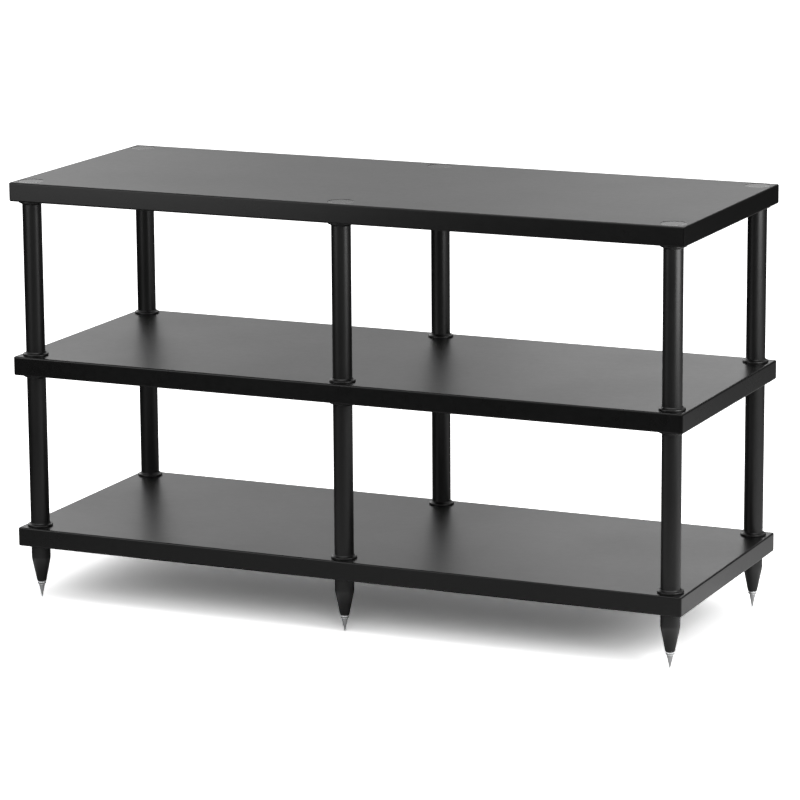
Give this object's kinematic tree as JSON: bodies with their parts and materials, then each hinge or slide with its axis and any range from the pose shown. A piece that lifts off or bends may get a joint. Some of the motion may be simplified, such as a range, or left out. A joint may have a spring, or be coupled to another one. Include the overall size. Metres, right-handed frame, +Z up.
{
  "type": "audio equipment rack",
  "caption": "Free-standing audio rack: three black lacquered shelves on round flanged columns, with cone feet and screw-out levelling spikes.",
  "frame": {"origin": "on the floor at the spikes' tips, under the middle of the shelves", "axes": "+X to the right along the shelves' long side, +Y to the rear, +Z up"},
  "size_m": [1.11, 0.426, 0.6666],
  "materials": {
    "board_lacquer": "satin to semi-gloss black lacquer on fibreboard",
    "black_coat": "smooth satin black powder coat",
    "chrome_plate": "polished chrome plate",
    "zinc_steel": "bright zinc plate"
  },
  "bodies": {
    "rack": {"bottom_shelf": "board_lacquer", "middle_shelf": "board_lacquer", "top_shelf": "board_lacquer", "lower_flange_front_left": "black_coat", "lower_tube_front_left": "black_coat", "upper_flange_front_left": "black_coat", "upper_tube_front_left": "black_coat", "tie_rod_front_left": "zinc_steel", "top_cap_front_left": "black_coat", "cone_foot_front_left": "black_coat", "lower_flange_front_middle": "black_coat", "lower_tube_front_middle": "black_coat", "upper_flange_front_middle": "black_coat", "upper_tube_front_middle": "black_coat", "tie_rod_front_middle": "zinc_steel", "top_cap_front_middle": "black_coat", "cone_foot_front_middle": "black_coat", "lower_flange_front_right": "black_coat", "lower_tube_front_right": "black_coat", "upper_flange_front_right": "black_coat", "upper_tube_front_right": "black_coat", "tie_rod_front_right": "zinc_steel", "top_cap_front_right": "black_coat", "cone_foot_front_right": "black_coat", "lower_flange_rear_left": "black_coat", "lower_tube_rear_left": "black_coat", "upper_flange_rear_left": "black_coat", "upper_tube_rear_left": "black_coat", "tie_rod_rear_left": "zinc_steel", "top_cap_rear_left": "black_coat", "cone_foot_rear_left": "black_coat", "lower_flange_rear_middle": "black_coat", "lower_tube_rear_middle": "black_coat", "upper_flange_rear_middle": "black_coat", "upper_tube_rear_middle": "black_coat", "tie_rod_rear_middle": "zinc_steel", "top_cap_rear_middle": "black_coat", "cone_foot_rear_middle": "black_coat", "lower_flange_rear_right": "black_coat", "lower_tube_rear_right": "black_coat", "upper_flange_rear_right": "black_coat", "upper_tube_rear_right": "black_coat", "tie_rod_rear_right": "zinc_steel", "top_cap_rear_right": "black_coat", "cone_foot_rear_right": "black_coat"},
    "ring_front_left": {"lock_ring_front_left": "chrome_plate"},
    "spike_front_left": {"spike_front_left": "chrome_plate"},
    "ring_front_middle": {"lock_ring_front_middle": "chrome_plate"},
    "spike_front_middle": {"spike_front_middle": "chrome_plate"},
    "ring_front_right": {"lock_ring_front_right": "chrome_plate"},
    "spike_front_right": {"spike_front_right": "chrome_plate"},
    "ring_rear_left": {"lock_ring_rear_left": "chrome_plate"},
    "spike_rear_left": {"spike_rear_left": "chrome_plate"},
    "ring_rear_middle": {"lock_ring_rear_middle": "chrome_plate"},
    "spike_rear_middle": {"spike_rear_middle": "chrome_plate"},
    "ring_rear_right": {"lock_ring_rear_right": "chrome_plate"},
    "spike_rear_right": {"spike_rear_right": "chrome_plate"}
  },
  "joints": [
    {"name": "lock_ring_turn_front_left", "type": "hinge", "parent": "rack", "child": "ring_front_left", "pos_m": [-0.529, -0.187, 0.0243], "axis": [0, 0, -1], "range_deg": [0, 2880]},
    {"name": "spike_screw_front_left", "type": "slide", "parent": "ring_front_left", "child": "spike_front_left", "axis": [0, 0, -1], "range_m": [0, 0.01]},
    {"name": "lock_ring_turn_front_middle", "type": "hinge", "parent": "rack", "child": "ring_front_middle", "pos_m": [0, -0.187, 0.0243], "axis": [0, 0, -1], "range_deg": [0, 2880]},
    {"name": "spike_screw_front_middle", "type": "slide", "parent": "ring_front_middle", "child": "spike_front_middle", "axis": [0, 0, -1], "range_m": [0, 0.01]},
    {"name": "lock_ring_turn_front_right", "type": "hinge", "parent": "rack", "child": "ring_front_right", "pos_m": [0.529, -0.187, 0.0243], "axis": [0, 0, -1], "range_deg": [0, 2880]},
    {"name": "spike_screw_front_right", "type": "slide", "parent": "ring_front_right", "child": "spike_front_right", "axis": [0, 0, -1], "range_m": [0, 0.01]},
    {"name": "lock_ring_turn_rear_left", "type": "hinge", "parent": "rack", "child": "ring_rear_left", "pos_m": [-0.529, 0.187, 0.0243], "axis": [0, 0, -1], "range_deg": [0, 2880]},
    {"name": "spike_screw_rear_left", "type": "slide", "parent": "ring_rear_left", "child": "spike_rear_left", "axis": [0, 0, -1], "range_m": [0, 0.01]},
    {"name": "lock_ring_turn_rear_middle", "type": "hinge", "parent": "rack", "child": "ring_rear_middle", "pos_m": [0, 0.187, 0.0243], "axis": [0, 0, -1], "range_deg": [0, 2880]},
    {"name": "spike_screw_rear_middle", "type": "slide", "parent": "ring_rear_middle", "child": "spike_rear_middle", "axis": [0, 0, -1], "range_m": [0, 0.01]},
    {"name": "lock_ring_turn_rear_right", "type": "hinge", "parent": "rack", "child": "ring_rear_right", "pos_m": [0.529, 0.187, 0.0243], "axis": [0, 0, -1], "range_deg": [0, 2880]},
    {"name": "spike_screw_rear_right", "type": "slide", "parent": "ring_rear_right", "child": "spike_rear_right", "axis": [0, 0, -1], "range_m": [0, 0.01]}
  ],
  "couplings": [
    {"joint": "spike_screw_front_left", "follows": "lock_ring_turn_front_left", "m_per_rad": 0.00019894},
    {"joint": "spike_screw_front_middle", "follows": "lock_ring_turn_front_middle", "m_per_rad": 0.00019894},
    {"joint": "spike_screw_front_right", "follows": "lock_ring_turn_front_right", "m_per_rad": 0.00019894},
    {"joint": "spike_screw_rear_left", "follows": "lock_ring_turn_rear_left", "m_per_rad": 0.00019894},
    {"joint": "spike_screw_rear_middle", "follows": "lock_ring_turn_rear_middle", "m_per_rad": 0.00019894},
    {"joint": "spike_screw_rear_right", "follows": "lock_ring_turn_rear_right", "m_per_rad": 0.00019894}
  ]
}
